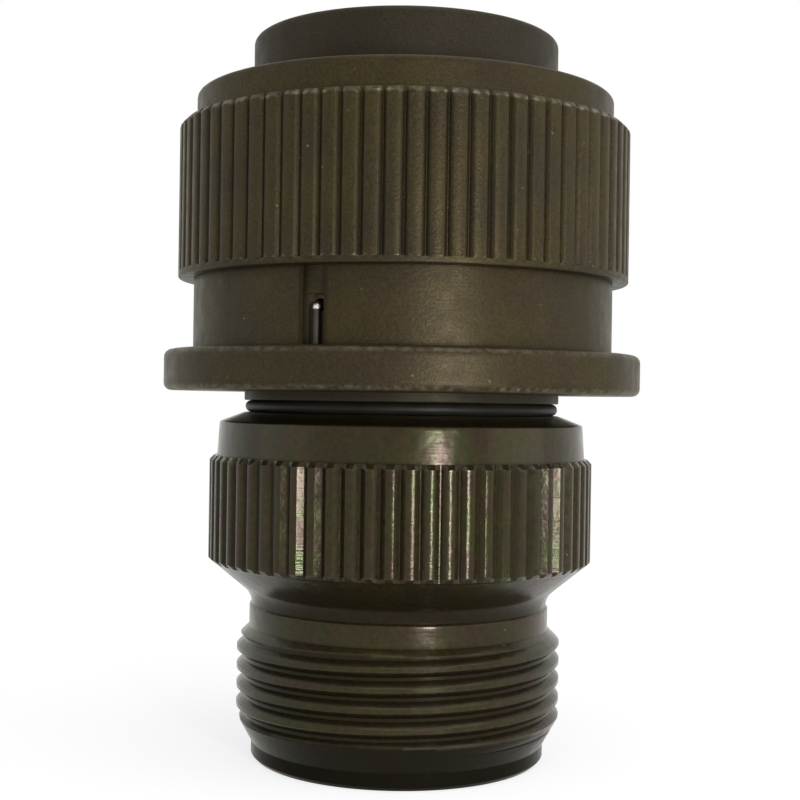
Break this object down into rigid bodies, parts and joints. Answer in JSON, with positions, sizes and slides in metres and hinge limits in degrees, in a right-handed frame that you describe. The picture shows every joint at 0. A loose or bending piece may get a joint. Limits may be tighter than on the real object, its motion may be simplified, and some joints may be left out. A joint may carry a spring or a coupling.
{
  "type": "circular connector plug",
  "caption": "Olive-drab bayonet cable plug: knurled sprung coupling ring with rear flange, smooth mating barrel with socket insert, and knurled backshell with a rear accessory thread.",
  "frame": {"origin": "middle of the rear end face, on which the plug stands", "axes": "+Z along the plug's axis, from the cable entry to the mating face; -Y faces the picture's camera, and the keyway is on the +Y side"},
  "size_m": [0.0326, 0.0326, 0.049],
  "materials": {
    "olive_ring": "satin",
    "olive_shell": "satin",
    "olive_backshell": "gloss",
    "spring_wire": "polished",
    "black_rubber": "satin",
    "insert_plastic": "matte",
    "contact_gold": "polished"
  },
  "bodies": {
    "plug": {"plug_shell": "olive_shell", "wave_spring": "spring_wire", "mating_seal": "black_rubber", "front_insulator": "insert_plastic", "rear_insulator": "insert_plastic", "insert_retaining_ring": "spring_wire", "wire_grommet": "black_rubber", "grommet_follower": "insert_plastic", "backshell_o_ring": "black_rubber", "backshell": "olive_backshell", "socket_contact_1": "contact_gold", "socket_contact_2": "contact_gold", "socket_contact_3": "contact_gold", "socket_contact_4": "contact_gold", "socket_contact_5": "contact_gold", "socket_contact_6": "contact_gold", "socket_contact_7": "contact_gold", "contact_clip_1": "contact_gold", "contact_clip_2": "contact_gold", "contact_clip_3": "contact_gold", "contact_clip_4": "contact_gold", "contact_clip_5": "contact_gold", "contact_clip_6": "contact_gold", "contact_clip_7": "contact_gold"},
    "slip_washer": {"thrust_washer": "spring_wire"},
    "coupling": {"coupling_ring": "olive_ring", "retaining_wire": "spring_wire"}
  },
  "joints": [
    {"name": "ring_travel", "type": "slide", "parent": "plug", "child": "slip_washer", "axis": [0, 0, 1], "range_m": [0, 0.0008], "stiffness_N_per_m": 4000, "springref_m": -0.0015, "deforming": ["wave_spring"]},
    {"name": "ring_turn", "type": "hinge", "parent": "slip_washer", "child": "coupling", "pos_m": [0, 0, 0.035], "axis": [0, 0, 1], "continuous": true}
  ]
}
